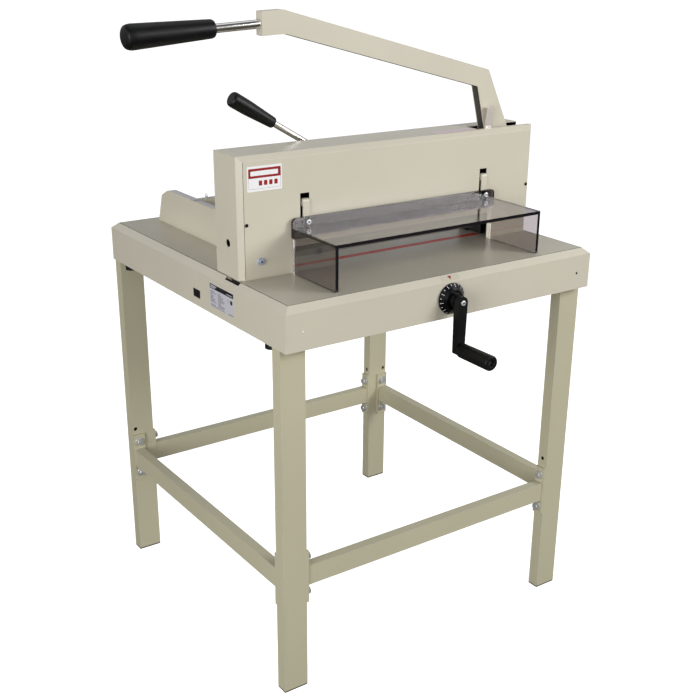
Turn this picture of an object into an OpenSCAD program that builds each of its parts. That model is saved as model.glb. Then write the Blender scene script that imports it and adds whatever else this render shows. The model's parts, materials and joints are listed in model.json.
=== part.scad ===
// Stack paper cutter on a four-legged stand.
// X runs from the left of the table to the right, Y from the operator to the back, Z up from the floor.
// Every module works from the table's front left corner; put() moves it to the origin, which is the
// middle of the whole machine's outline, on the floor.

/* [Table] */
// Width of the table over its skirt
table_w = 700; // [696:1:704]
// Depth of the table over its skirt
table_d = 689; // [686:1:692]
// Height of the table's working face above the floor
table_z = 766; // [764:1:768]
// Height of the skirt below the working face
skirt_h = 78.5; // [77:0.5:80]
// Run of the bevel along the skirt's top edge, seen from above
bevel_run = 12.4; // [11:0.1:13]
// Drop of the bevel along the skirt's top edge
bevel_drop = 10.8; // [9.5:0.1:11]
// Thickness of the steel table plate
plate_t = 10; // [9:0.5:11]

/* [Stand] */
// Width of a leg's rectangular tube
leg_w = 50; // [49:1:51]
// Depth of a leg's rectangular tube
leg_d = 25; // [25:1:26]
// Wall of the leg and stretcher tubes
tube_t = 1.6; // [1.2:0.1:2]
// Height of a stretcher's tube
stretcher_h = 40; // [38:1:42]
// Thickness of a stretcher's tube
stretcher_t = 20; // [18:1:20]
// Height of the stretchers' centre line
stretcher_z = 236; // [220:1:260]

/* [Bridge] */
// Front face of the bridge, behind the skirt's front face
bridge_y = 170; // [169:0.5:171]
// Depth of the bridge
bridge_d = 85; // [85:0.5:87]
// Top of the bridge above the table
bridge_h = 215.4; // [215:0.2:217]
// Folded edge round the front cover
cover_bevel = 9; // [8:0.5:9.5]
// Thickness of the sheet metal covers and skirt
sheet_t = 1.5; // [1.2:0.1:1.6]
// Height of the throat in the front cover
throat_h = 47; // [44:1:48]

/* [Blade arm] */
// Thickness of the arm
arm_t = 20; // [18:0.5:20]
// Distance from the arm's pivot to its drive roller
drive_r = 70; // [69:0.5:71]
// Diameter of the arm's chrome rod
arm_rod_d = 15; // [14:0.5:16]
// Largest diameter of the arm's grip
arm_grip_d = 40.6; // [38:0.2:42]
// Blade edge above the table while the arm is latched
edge_gap = 16; // [15.9:0.1:18]

/* [Clamp] */
// Length of the clamp lever from its shaft to the grip's end
lever_len = 331; // [325:1:335]
// Slope of the resting clamp lever above level, in degrees
lever_slope = 30.2; // [30:0.1:31]
// Clamp bar above the table when it is open
clamp_gap = 48; // [47:0.5:49]

/* [Guard] */
// Thickness of the clear guard's sheet
guard_t = 6; // [5:0.5:6]
// Reach of the guard in front of the bridge
guard_reach = 142; // [130:1:145]

/* [Crank] */
// Distance from the crank's axle to its grip
crank_r = 88.5; // [86:0.5:90]
// Radius of the dial
dial_r = 28.7; // [27:0.1:30]

/* [Hidden] */
$fn = 48;
eps = 0.01;
fine = 96;

beige = "#cdc9b6";
leg_beige = "#c3bd9d";
bare_steel = "#a9abad";
dark_steel = "#5c5e60";
chrome = "#d4d6d8";
zinc = "#bfc3c6";
black = "#17181a";
smoke = "#5a565bb0";
red = "#b23a2c";
brass = "#b79a55";

// Whole outline, used to centre the machine on the origin
grip_x0 = -156.9;
crank_y0 = -118;
origin_x = (table_w + grip_x0) / 2;
origin_y = (table_d + crank_y0) / 2;

// Stand
leg_inset_x = 1.7;
leg_front_y = 21.7;
leg_rear_y = table_d - 5.9 - leg_d;
cap_t = 3;
cap_insert_h = 12;
leg_top = table_z - plate_t - 14;
leg_x = [leg_inset_x, table_w - leg_inset_x - leg_w];
leg_y = [leg_front_y, leg_rear_y];
pad_t = 5;
pad_h = 108;
side_pad_w = 27;
bolt_r = 4;
bolt_hole_r = 4.2;
bolt_head_r = 8;
bolt_head_t = 8.5;
bolt_rise = 37;
side_bolt_x = 13.6;
spare_hole_z = [stretcher_z + 74, stretcher_z + 67];
spare_hole_x = 8;

// Table and skirt
skirt_z = table_z - skirt_h;
seam = 0.6;
return_w = 26;
plate_in = bevel_run + seam;
plate_z = table_z - plate_t;
frame_z = 700;
frame_rail_w = 30;
frame_front_y = 20;
frame_rear_y = 645;
frame_cross_t = 25;
frame_x = [leg_inset_x + leg_w, table_w - leg_inset_x - leg_w - frame_rail_w];
spindle_x = 347.5;
spindle_z = 724.5;
spindle_r = 7;
foot_r = 11.5;
foot_stem_r = 3.9;
foot_z = 676;
foot_x = 14.5;
foot_ys = [69, 633];
stick_y = 200;
stick_w = 14;
stick_h = 4;
stick_x0 = 26;
stick_x1 = 586;
stick_notch_x = 7.2;
stick_notch_y = [166, 215];
plug_y = [298, 321];
plug_z = [705, 718.5];
gauge_slot_y = [262, 640];
gauge_slot_w = 12.8;

// Back gauge and side guide
gauge_y = 492;
gauge_t = 8;
gauge_x = [113, 575];
gauge_top = table_z + 72;
guide_x = [93, 110];
guide_top = table_z + 71;
guide_y1 = 655;

// Bridge
bridge_x = [15, 690];
bridge_back = bridge_y + bridge_d;
bridge_top = table_z + bridge_h;
throat_x = [122, 577.5];
throat_top = table_z + throat_h;
rear_throat_h = 79;
bevel_inner = cover_bevel + sheet_t * (sqrt(2) - 1);
hanger_slots = [[138, 157], [552, 570]];
hanger_slot_z = [826, 907];
portal_y = 238;
portal_t = 12;
portal_x = [30, 682];
portal_top = 962;
portal_gap_x = [116, 584];
portal_gap_top = 852;
upright_y = 200;
arm_slot_x = [556, bridge_x[1] + 1];
arm_slot_depth = 16;
arm_slot_y = [188, 222.5];

// Blade arm, in X and Z
pivot = [645, 898];
arm_y = 200;
hub_r = 34;
shaft_r = 12;
run_gap = 0.06;
arm_end_x = 85.8;
arm_end_z = [1170.2, 1209.8];
roller_lag = 6.5;
roller_r = 10;
roller_pin_r = 6;
roller = pivot + drive_r * [-cos(roller_lag), -sin(roller_lag)];
lug_r = 16;
rod_dip = 3.1;
rod_start = [84.5, 1189];
grip_from = 84;
grip_to = 241.4;

// Blade carrier
cut_lean = 22;
carrier_y = 186;
carrier_t = 13.5;
blade_t = 6;
blade_x = [130, 570];
blade_z = [table_z + edge_gap, 850];
guide_bolts_x = [80, 614];
guide_bolt_z = 846;
guide_bolt_r = 8;
travel_down = 17.4;
travel_up = 34.4;
blade_bolt_pitch = 80;

// Clamp
lever_axle = [350, 896];
lever_y = 275;
crank_pin_r = 6;
clamp_swing = 38;
clamp_crank_r = 70;
clamp_pin = lever_axle + clamp_crank_r * [-cos(clamp_swing / 2), sin(clamp_swing / 2)];
clamp_y = [206.5, 234];
clamp_x = [128, 572];
clamp_z = [table_z + clamp_gap, 850];
post_x = [170, 530];
post_y = 222;
post_r = 7;
post_top = 965;
lever_shaft_r = 8;
lever_rod_r = 6;
lever_grip_from = 233;
spring_z = [896.2, 960.8];
spring_r = 9.4;
spring_wire = 1;
spring_turns = 6;

// Guard
guard_pivot = [176, 889];
guard_rod_r = 3;
guard_x = [116.5, 583];
guard_back = 166.5;
guard_front = guard_back - guard_reach + 3;
shelf_z = table_z + 82.5;
flange_z = [829, 866];
hanger_t = 3;
hanger_w = 13.2;
hanger_x = [148.8, 562.3];
guard_screw_z = [835.5, 857];

// Crank
crank_x = spindle_x;
crank_z = spindle_z;
crank_arm_y = [-35, -22];
crank_bottom = crank_z - crank_r;

// Latch
latch_axle = [581, 957];
latch_top = [[583.3, 1023.4], [595.5, 1020]];
latch_y = [189.5, 193];
latch_boss_y = [bridge_y + sheet_t, latch_y[0] - 0.4];
latch_pin_r = 4;

// ---- helpers ----

module put() {
    translate([-origin_x, -origin_y, 0]) children();
}

module block(x, y, z) {
    translate([x[0], y[0], z[0]]) cube([x[1] - x[0], y[1] - y[0], z[1] - z[0]]);
}

// Cylinder along Y through [x, z]
module rod_y(at, y, r, r2 = undef) {
    translate([at[0], y[1], at[1]])
        rotate([90, 0, 0])
            cylinder(h = y[1] - y[0], r1 = is_undef(r2) ? r : r2, r2 = r);
}

// Cylinder along X through [y, z]
module rod_x(at, x, r) {
    translate([x[0], at[0], at[1]]) rotate([0, 90, 0]) cylinder(h = x[1] - x[0], r = r);
}

module rod_z(at, z, r) {
    translate([at[0], at[1], z[0]]) cylinder(h = z[1] - z[0], r = r);
}

// An outline in X and Z, made solid along Y
module slab_y(y) {
    translate([0, y[1], 0]) rotate([90, 0, 0]) linear_extrude(y[1] - y[0]) children();
}

// An outline in Y and Z, made solid along X
module slab_x(x) {
    translate([x[0], 0, 0]) rotate([90, 0, 90]) linear_extrude(x[1] - x[0]) children();
}

function unit(v) = v / norm(v);

// The arc that rounds corner b between a and c
function corner(a, b, c, r, n) =
    let (
        u = unit(a - b),
        v = unit(c - b),
        half = acos(u * v) / 2,
        centre = b + unit(u + v) * r / sin(half),
        p = b + u * r / tan(half) - centre,
        q = b + v * r / tan(half) - centre,
        from = atan2(p[1], p[0]),
        turn = (atan2(q[1], q[0]) - from + 540) % 360 - 180
    )
    [for (i = [0:n]) centre + r * [cos(from + turn * i / n), sin(from + turn * i / n)]];

// Closed outline with each corner rounded; each entry is [x, y, radius]
function rounded(p, n = 6) =
    let (m = len(p), xy = [for (c = p) [c[0], c[1]]])
    [for (i = [0:m - 1]) each corner(xy[(i + m - 1) % m], xy[i], xy[(i + 1) % m], p[i][2], n)];

module hex_y(at, y, r) {
    translate([at[0], y[1], at[1]]) rotate([90, 0, 0]) cylinder(h = y[1] - y[0], r = r, $fn = 6);
}

module hex_x(at, x, r) {
    translate([x[0], at[0], at[1]]) rotate([0, 90, 0]) cylinder(h = x[1] - x[0], r = r, $fn = 6);
}

// ---- stand ----

// A leg of rectangular tube; ix and iy pick the corner it stands at
module leg(ix, iy) {
    x0 = leg_x[ix];
    y0 = leg_y[iy];
    outer_x = ix == 0 ? x0 : x0 + leg_w;
    inward = ix == 0 ? 1 : -1;
    inner_x = outer_x + inward * leg_w;
    inner_y = iy == 0 ? y0 + leg_d : y0;
    mid_y = y0 + leg_d / 2;
    spare_z = spare_hole_z[iy];
    color(leg_beige) difference() {
        block([x0, x0 + leg_w], [y0, y0 + leg_d], [cap_t, leg_top]);
        block(
            [x0 + tube_t, x0 + leg_w - tube_t],
            [y0 + tube_t, y0 + leg_d - tube_t],
            [0, leg_top + 1]
        );
        for (z = [stretcher_z - bolt_rise, stretcher_z + bolt_rise, spare_z])
            rod_x([mid_y, z], [inner_x - tube_t - 1, inner_x + tube_t + 1], bolt_hole_r);
        for (at = [
            [side_bolt_x, stretcher_z - bolt_rise],
            [side_bolt_x, stretcher_z + bolt_rise],
            [spare_hole_x, spare_z],
        ])
            rod_y(
                [outer_x + inward * at[0], at[1]],
                [inner_y - tube_t - 1, inner_y + tube_t + 1],
                bolt_hole_r
            );
        for (z = [frame_z + 14, frame_z + 36])
            rod_x([mid_y, z], [inner_x - tube_t - 1, inner_x + tube_t + 1], bolt_hole_r);
    }
}

module leg_front_left() put() leg(0, 0);
module leg_front_right() put() leg(1, 0);
module leg_rear_left() put() leg(0, 1);
module leg_rear_right() put() leg(1, 1);

module leg_end_caps() {
    fit = tube_t + 0.05;
    color(black) put() for (x = leg_x, y = leg_y) {
        block([x, x + leg_w], [y, y + leg_d], [0, cap_t]);
        block(
            [x + fit, x + leg_w - fit],
            [y + fit, y + leg_d - fit],
            [cap_t, cap_t + cap_insert_h]
        );
    }
}

// Hollow rail of rectangular tube along X
module rail_x(x, y, z) {
    difference() {
        block(x, y, z);
        block(
            [x[0] - 1, x[1] + 1],
            [y[0] + tube_t, y[1] - tube_t],
            [z[0] + tube_t, z[1] - tube_t]
        );
    }
}

module rail_y(x, y, z) {
    difference() {
        block(x, y, z);
        block(
            [x[0] + tube_t, x[1] - tube_t],
            [y[0] - 1, y[1] + 1],
            [z[0] + tube_t, z[1] - tube_t]
        );
    }
}

// Front or rear stretcher, welded to a bolted pad at each end
module cross_stretcher(iy) {
    x0 = leg_x[0] + leg_w;
    x1 = leg_x[1];
    y0 = leg_y[iy];
    mid_y = y0 + leg_d / 2;
    z = [stretcher_z - stretcher_h / 2, stretcher_z + stretcher_h / 2];
    color(leg_beige) {
        rail_x([x0 + pad_t, x1 - pad_t], [mid_y - stretcher_t / 2, mid_y + stretcher_t / 2], z);
        for (x = [x0, x1 - pad_t]) difference() {
            block([x, x + pad_t], [y0, y0 + leg_d], [stretcher_z - pad_h / 2, stretcher_z + pad_h / 2]);
            for (s = [-1, 1])
                rod_x([mid_y, stretcher_z + s * bolt_rise], [x - 1, x + pad_t + 1], bolt_hole_r);
        }
    }
}

// Left or right stretcher, flush with the outside of the legs
module side_stretcher(ix) {
    y0 = leg_y[0] + leg_d;
    y1 = leg_y[1];
    edge = ix == 0 ? leg_inset_x : table_w - leg_inset_x;
    inward = ix == 0 ? 1 : -1;
    z = [stretcher_z - stretcher_h / 2, stretcher_z + stretcher_h / 2];
    tube_x = [edge + inward * 2, edge + inward * (2 + stretcher_t)];
    pad_x = [edge, edge + inward * side_pad_w];
    color(leg_beige) {
        rail_y([min(tube_x), max(tube_x)], [y0 + pad_t, y1 - pad_t], z);
        for (y = [y0, y1 - pad_t]) difference() {
            block(
                [min(pad_x), max(pad_x)],
                [y, y + pad_t],
                [stretcher_z - pad_h / 2, stretcher_z + pad_h / 2]
            );
            for (s = [-1, 1])
                rod_y(
                    [edge + inward * side_bolt_x, stretcher_z + s * bolt_rise],
                    [y - 1, y + pad_t + 1],
                    bolt_hole_r
                );
        }
    }
}

module front_stretcher() put() cross_stretcher(0);
module rear_stretcher() put() cross_stretcher(1);
module left_stretcher() put() side_stretcher(0);
module right_stretcher() put() side_stretcher(1);

// Hexagon bolts through the pads and through the base frame into the legs
module stand_bolts() {
    inside = 9;
    color(zinc) put() for (ix = [0, 1], iy = [0, 1]) {
        inner_x = ix == 0 ? leg_x[0] + leg_w : leg_x[1];
        inner_y = iy == 0 ? leg_y[0] + leg_d : leg_y[1];
        mid_y = leg_y[iy] + leg_d / 2;
        sx = ix == 0 ? 1 : -1;
        sy = iy == 0 ? 1 : -1;
        pad_x = ix == 0 ? leg_inset_x + side_bolt_x : table_w - leg_inset_x - side_bolt_x;
        for (s = [-1, 1]) {
            z = stretcher_z + s * bolt_rise;
            head_x = inner_x + sx * pad_t;
            head_y = inner_y + sy * pad_t;
            hex_x([mid_y, z], span(head_x, head_x + sx * bolt_head_t), bolt_head_r);
            rod_x([mid_y, z], span(inner_x - sx * inside, head_x), bolt_r);
            hex_y([pad_x, z], span(head_y, head_y + sy * bolt_head_t), bolt_head_r);
            rod_y([pad_x, z], span(inner_y - sy * inside, head_y), bolt_r);
        }
        rail_in = inner_x + sx * tube_t;
        for (z = [frame_z + 14, frame_z + 36]) {
            hex_x([mid_y, z], span(rail_in, rail_in + sx * bolt_head_t), bolt_head_r);
            rod_x([mid_y, z], span(inner_x - sx * inside, rail_in), bolt_r);
        }
    }
}

function span(a, b) = [min(a, b), max(a, b)];
function grow(s, by) = [s[0] - by, s[1] + by];

// ---- table ----

// Welded tube frame that carries the table plate and bolts to the legs
module base_frame() {
    top = plate_z;
    side_y = [frame_front_y, frame_rear_y + frame_cross_t];
    inner = [frame_x[0] + frame_rail_w, frame_x[1]];
    color(dark_steel) put() difference() {
        union() {
            for (x = frame_x) rail_y([x, x + frame_rail_w], side_y, [frame_z, top]);
            for (y = [frame_front_y, frame_rear_y])
                rail_x(inner, [y, y + frame_cross_t], [frame_z, top]);
        }
        rod_y([spindle_x, spindle_z], [frame_front_y - 1, side_y[1] + 1], spindle_r + 5);
        for (ix = [0, 1], iy = [0, 1], z = [frame_z + 14, frame_z + 36]) {
            face = ix == 0 ? leg_x[0] + leg_w : leg_x[1];
            rod_x([leg_y[iy] + leg_d / 2, z], [face - tube_t - 1, face + tube_t + 1], bolt_hole_r);
        }
    }
}

module base_feet() {
    color(black) put() for (x = [foot_x, table_w - foot_x], y = foot_ys) {
        rod_z([x, y], [foot_z, skirt_z], foot_r);
        rod_z([x, y], [skirt_z, skirt_z + sheet_t + 4], foot_stem_r);
    }
}

// Section of a skirt panel: wall, bevelled top edge and inturned bottom flange
module skirt_section() {
    shoulder = table_z - bevel_drop;
    dip = sheet_t * 0.55;
    polygon([
        [0, skirt_z],
        [0, shoulder],
        [bevel_run, table_z],
        [bevel_run, table_z - sheet_t * 1.3],
        [sheet_t, shoulder - dip],
        [sheet_t, skirt_z + sheet_t],
        [return_w, skirt_z + sheet_t],
        [return_w, skirt_z],
    ]);
}

// Room for the four legs in the skirt's bottom flange
module leg_room() {
    gap = 0.6;
    for (x = leg_x, y = leg_y)
        block(
            [x - gap, x + leg_w + gap],
            [y - gap, y + leg_d + gap],
            [skirt_z - 1, skirt_z + sheet_t + 1]
        );
}

// The quarter of the table's plan that belongs to one skirt panel, so that corners are mitred
module mitre(length) {
    half = min(table_w, table_d) / 2 - 20;
    translate([0, 0, skirt_z - 1])
        linear_extrude(skirt_h + 2)
            polygon([[0, 0], [length, 0], [length - half, half], [half, half]]);
}

module skirt_panel(length) {
    intersection() {
        slab_x([0, length]) skirt_section();
        mitre(length);
    }
}

module skirt_front() {
    color(beige) put() difference() {
        skirt_panel(table_w);
        leg_room();
        rod_y([spindle_x, spindle_z], [-1, sheet_t + 1], spindle_r + 5);
    }
}

module skirt_rear() {
    color(beige) put() difference() {
        translate([table_w, table_d, 0]) rotate([0, 0, 180]) skirt_panel(table_w);
        leg_room();
    }
}

// Side panel with the holes of its rubber feet
module side_skirt_panel() {
    difference() {
        translate([0, table_d, 0]) rotate([0, 0, -90]) skirt_panel(table_d);
        leg_room();
        for (y = foot_ys) rod_z([foot_x, y], [skirt_z - 1, skirt_z + sheet_t + 1], foot_stem_r + 0.1);
    }
}

// The left panel also has a notch for changing the cutting stick and a plugged square hole
module skirt_left() {
    plug = 0.2;
    color(beige) put() difference() {
        side_skirt_panel();
        block([stick_notch_x, bevel_run + 1], stick_notch_y, [table_z - bevel_drop, table_z + 1]);
        block([-1, sheet_t + 1], grow(plug_y, plug), grow(plug_z, plug));
    }
}

module skirt_right() {
    color(beige) put() translate([table_w, 0, 0]) mirror([1, 0, 0]) side_skirt_panel();
}

module skirt_plug() {
    color(black) put() {
        block([0, sheet_t + 3], plug_y, plug_z);
        block([-1, 0], grow(plug_y, 1), grow(plug_z, 1));
    }
}

module table_plate() {
    groove_gap = 0.2;
    color(beige) put() difference() {
        block([plate_in, table_w - plate_in], [plate_in, table_d - plate_in], [plate_z, table_z]);
        block(
            [0, stick_x1 + 0.5],
            [stick_y - groove_gap, stick_y + stick_w + groove_gap],
            [table_z - stick_h - groove_gap, table_z + 1]
        );
        block(
            [spindle_x - gauge_slot_w / 2, spindle_x + gauge_slot_w / 2],
            gauge_slot_y,
            [plate_z - 1, table_z + 1]
        );
    }
}

module cutting_stick() {
    color(red) put() block(
        [stick_x0, stick_x1],
        [stick_y, stick_y + stick_w],
        [table_z - stick_h, table_z]
    );
}

// Folded fence on the left of the rear table, open below
module side_guide() {
    front = bridge_back + 1.2;
    outline = [
        [front, table_z, 1],
        [front, guide_top, 4],
        [guide_y1 - 48, guide_top, 22],
        [guide_y1 - 20, guide_top - 14, 8],
        [guide_y1, table_z, 1],
    ];
    inner = [
        [front + 3, table_z - 1, 1],
        [front + 3, guide_top - 3, 3],
        [guide_y1 - 50, guide_top - 3, 18],
        [guide_y1 - 23, guide_top - 17, 6],
        [guide_y1 - 3.4, table_z - 1, 1],
    ];
    color(beige) put() difference() {
        slab_x(guide_x) polygon(rounded(outline));
        slab_x([guide_x[0] + 2, guide_x[1] - 2]) polygon(rounded(inner));
    }
}

// ---- back gauge drive ----

module bushes() {
    wall = 5;
    lip = 2;
    color(brass) put() {
        for (y = [frame_front_y, frame_rear_y]) difference() {
            union() {
                rod_y([spindle_x, spindle_z], [y, y + frame_cross_t], spindle_r + wall - 0.02);
                rod_y([spindle_x, spindle_z], [y - lip, y], spindle_r + wall + 3);
            }
            rod_y([spindle_x, spindle_z], [y - lip - 1, y + frame_cross_t + 1], spindle_r + run_gap);
        }
        difference() {
            rod_y(pivot, [arm_y + arm_t + 1, portal_y + portal_t], shaft_r + 4);
            rod_y(pivot, [arm_y, portal_y + portal_t + 1], shaft_r + run_gap);
        }
        difference() {
            rod_y(lever_axle, [portal_y - 3, portal_y + portal_t + 2], lever_shaft_r + 4);
            rod_y(lever_axle, [portal_y - 4, portal_y + portal_t + 3], lever_shaft_r + run_gap);
        }
    }
}

// Screwed rod that moves the gauge, with plain ends in the bushes
module spindle() {
    color(bare_steel) put() {
        rod_y([spindle_x, spindle_z], [-8, frame_rear_y + frame_cross_t + 4], spindle_r);
        for (y = [frame_front_y + frame_cross_t + 0.5, frame_rear_y - 8])
            rod_y([spindle_x, spindle_z], [y, y + 5.5], spindle_r + 4);
    }
}

// Graduated cone and boss on the spindle's end
module dial_hub() {
    gap = 0.8;
    color(black) put() difference() {
        union() {
            rod_y([crank_x, crank_z], [-3.5, -gap], dial_r);
            rod_y([crank_x, crank_z], [-12, -3.5], 18, dial_r);
            rod_y([crank_x, crank_z], [crank_arm_y[1], -12], 13.5);
        }
        rod_y([crank_x, crank_z], [-8, 1], spindle_r + 0.03);
        rod_y([crank_x, crank_z], [crank_arm_y[1] - 1, -8.1], 3.1);
    }
}

module crank_arm() {
    top_r = 11;
    half = 9;
    outline = [
        [crank_x - top_r, crank_z, 0.2],
        [crank_x + top_r, crank_z, 0.2],
        [crank_x + half - 1, crank_bottom - half, 4],
        [crank_x - half - 1, crank_bottom - half, 4],
    ];
    color(black) put() difference() {
        union() {
            slab_y(crank_arm_y) polygon(rounded(outline));
            rod_y([crank_x, crank_z], crank_arm_y, top_r);
        }
        rod_y([crank_x, crank_z], [crank_arm_y[0] - 1, crank_arm_y[1] + 1], 3.1);
        rod_y([crank_x, crank_bottom], [crank_arm_y[0] - 1, crank_arm_y[1] + 1], 4.05);
    }
}

module crank_screw() {
    color(zinc) put() difference() {
        union() {
            rod_y([crank_x, crank_z], [crank_arm_y[0] - 2.6, crank_arm_y[0]], 5);
            rod_y([crank_x, crank_z], [crank_arm_y[0], -8.2], 3);
        }
        hex_y([crank_x, crank_z], [crank_arm_y[0] - 3, crank_arm_y[0] - 1], 2.3);
    }
}

module grip_pin() {
    color(bare_steel) put() {
        rod_y([crank_x, crank_bottom], [crank_y0 + 9, crank_arm_y[1] - 2], 4);
        rod_y([crank_x, crank_bottom], [crank_y0 + 6, crank_y0 + 9], 5.6);
    }
}

// Turning grip, hollow, with its pin's head sunk in the end
module crank_grip() {
    back = crank_arm_y[0] - 0.5;
    color(black) put()
        translate([crank_x, back, crank_bottom])
            rotate([90, 0, 0])
                rotate_extrude($fn = fine) {
                    length = back - crank_y0;
                    polygon([
                        [4.08, 0],
                        [12, 0],
                        [13.2, 1.5],
                        [13.6, 4],
                        [14.2, length - 3],
                        [13.6, length - 0.9],
                        [12.4, length],
                        [6.2, length],
                        [6.2, length - 9.5],
                        [4.08, length - 9.5],
                    ]);
                }
}

// Nut block on the spindle, with a neck through the table's slot and a foot for the gauge
module gauge_carriage() {
    neck = 6;
    color(dark_steel) put() difference() {
        union() {
            block([spindle_x - 18, spindle_x + 18], [gauge_y, gauge_y + 24], [706, 743]);
            block([spindle_x - neck, spindle_x + neck], [gauge_y, gauge_y + 24], [743, table_z + 1.5]);
            block(
                [spindle_x - 30, spindle_x + 30],
                [gauge_y + gauge_t, gauge_y + gauge_t + 26],
                [table_z + 1.5, table_z + 7.5]
            );
            block(
                [spindle_x - neck, spindle_x + neck],
                [gauge_y, gauge_y + gauge_t],
                [table_z, table_z + 1.5]
            );
        }
        rod_y([spindle_x, spindle_z], [gauge_y - 1, gauge_y + 25], spindle_r + run_gap);
    }
}

// Stop that the stack is squared against
module back_gauge() {
    outline = [
        [gauge_x[0], table_z + 1.5, 1],
        [gauge_x[0], gauge_top, 2],
        [gauge_x[1], gauge_top, 6],
        [gauge_x[1], table_z + 1.5, 1],
    ];
    color(beige) put() slab_y([gauge_y, gauge_y + gauge_t]) polygon(rounded(outline));
}

// Thin pointer over the scale, held by a looped thumb screw
module gauge_pointer() {
    x = 124;
    z = gauge_top + 2;
    color(zinc) put() {
        block([90, 145], [gauge_y + 0.5, gauge_y + 7.5], [gauge_top, z]);
        rod_z([x, gauge_y + 4], [z, z + 1.6], 3.4);
        translate([x, gauge_y + 4, z + 4.6])
            rotate([0, 90, 20])
                rotate_extrude($fn = fine)
                    translate([2.6, 0]) circle(r = 0.8, $fn = 24);
    }
}

// ---- bridge ----

// Solid with the bridge's plan and profile; inset makes the inside of the sheet
module bridge_form(inset) {
    b = inset == 0 ? cover_bevel : bevel_inner;
    x = [bridge_x[0] + inset, bridge_x[1] - inset];
    y = [bridge_y + inset, bridge_back - inset];
    top = bridge_top - inset;
    low = table_z - (inset == 0 ? 0 : 1);
    b2 = cover_bevel + (inset == 0 ? 0 : bevel_inner - cover_bevel);
    c = inset == 0 ? b : b2 - inset * (sqrt(2) - 1) * 2 + 0.6;
    intersection() {
        translate([0, 0, low])
            linear_extrude(top - low)
                polygon([
                    [x[0], y[0] + c],
                    [x[0] + c, y[0]],
                    [x[1] - c, y[0]],
                    [x[1], y[0] + c],
                    [x[1], y[1]],
                    [x[0], y[1]],
                ]);
        slab_x(x) polygon([
            [y[0], low],
            [y[0], top - c],
            [y[0] + c, top],
            [y[1], top],
            [y[1], low],
        ]);
    }
}

// Front sheet with folded edges, the throat and the two hanger slots
module front_cover() {
    color(beige) put() difference() {
        bridge_form(0);
        bridge_form(sheet_t);
        block([0, table_w], [bridge_y + cover_bevel, bridge_back + 1], [table_z - 1, bridge_top + 1]);
        block(throat_x, [bridge_y - 1, bridge_y + sheet_t + 1], [table_z - 1, throat_top]);
        for (s = hanger_slots) block(s, [bridge_y - 1, bridge_y + sheet_t + 1], hanger_slot_z);
        for (x = [29, 676.7]) rod_y([x, 864], [bridge_y - 1, bridge_y + sheet_t + 1], 2.6);
        rod_y([56.2, 796.5], [bridge_y - 1, bridge_y + sheet_t + 1], 4.1);
    }
}

module top_cover() {
    color(beige) put() difference() {
        block(bridge_x, [bridge_y + cover_bevel, bridge_back], [bridge_top - sheet_t, bridge_top]);
        block(arm_slot_x, arm_slot_y, [bridge_top - sheet_t - 1, bridge_top + 1]);
    }
}

module end_cover(x) {
    block(
        [x, x + sheet_t],
        [bridge_y + cover_bevel, bridge_back - sheet_t],
        [table_z, bridge_top - sheet_t]
    );
}

module left_end_cover() {
    color(beige) put() difference() {
        end_cover(bridge_x[0]);
        rod_x([212, 826], [bridge_x[0] - 1, bridge_x[0] + sheet_t + 1], 7);
    }
}

// The arm's slot runs out through the top of the right cover
module right_end_cover() {
    color(beige) put() difference() {
        end_cover(bridge_x[1] - sheet_t);
        block(
            [bridge_x[1] - sheet_t - 1, bridge_x[1] + 1],
            arm_slot_y,
            [bridge_top - arm_slot_depth, bridge_top]
        );
    }
}

module rear_cover() {
    y = [bridge_back - sheet_t, bridge_back];
    color(beige) put() difference() {
        block(bridge_x, y, [table_z, bridge_top - sheet_t]);
        block(throat_x, [y[0] - 1, y[1] + 1], [table_z - 1, table_z + rear_throat_h]);
        rod_y(lever_axle, [y[0] - 1, y[1] + 1], lever_shaft_r + 6);
    }
}

module cover_screws() {
    color(black) put() {
        for (x = [29, 676.7]) {
            rod_y([x, 864], [bridge_y - 1.2, bridge_y], 3.2);
            rod_y([x, 864], [bridge_y, bridge_y + 8], 2.5);
        }
        for (x = [40, 350, 660]) rod_y([x, 950], [bridge_back, bridge_back + 1.4], 4);
    }
}

module lock_screw() {
    at = [56.2, 796.5];
    color(zinc) put() difference() {
        union() {
            rod_y(at, [bridge_y - 1.2, bridge_y], 7);
            hex_y(at, [bridge_y - 4.6, bridge_y - 1.2], 5.6);
            rod_y(at, [bridge_y, bridge_y + 12], 4);
        }
        rod_y(at, [bridge_y - 5, bridge_y - 2.8], 2.4);
    }
}

// Steel plate behind the blade that ties the two uprights, with guides for the clamp's posts
module portal_plate() {
    y = [portal_y, portal_y + portal_t];
    color(dark_steel) put() difference() {
        union() {
            block(portal_x, y, [table_z, portal_top]);
            for (x = post_x) block([x - 16, x + 16], [209, portal_y], [878, 896]);
        }
        block(portal_gap_x, [y[0] - 1, y[1] + 1], [table_z - 1, portal_gap_top]);
        for (x = post_x) rod_z([x, post_y], [870, 900], post_r + run_gap);
        rod_y(lever_axle, [y[0] - 1, y[1] + 1], lever_shaft_r + 4.02);
        rod_y(pivot, [y[0] - 1, y[1] + 1], shaft_r + 4.02);
    }
}

module left_upright() {
    color(dark_steel) put() difference() {
        block([36, 112], [upright_y, portal_y], [table_z, 930]);
        rod_y([guide_bolts_x[0], guide_bolt_z], [upright_y - 1, upright_y + 20], 5.05);
        block([30, 120], [stick_y - 2, stick_y + stick_w + 2], [table_z - 1, table_z + 4]);
    }
}

// Lower block that guides the carrier and upper boss that carries the arm's bush
module right_upright() {
    color(dark_steel) put() difference() {
        union() {
            block([588, 682], [upright_y, portal_y], [table_z, 848]);
            block([602, 682], [upright_y, portal_y], [848, 857]);
            block([606, 682], [arm_y + arm_t + 1, portal_y], [857, 936]);
        }
        rod_y([guide_bolts_x[1], guide_bolt_z], [upright_y - 1, upright_y + 20], 5.05);
        rod_y(pivot, [arm_y, portal_y + 1], shaft_r + 4.02);
    }
}

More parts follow.
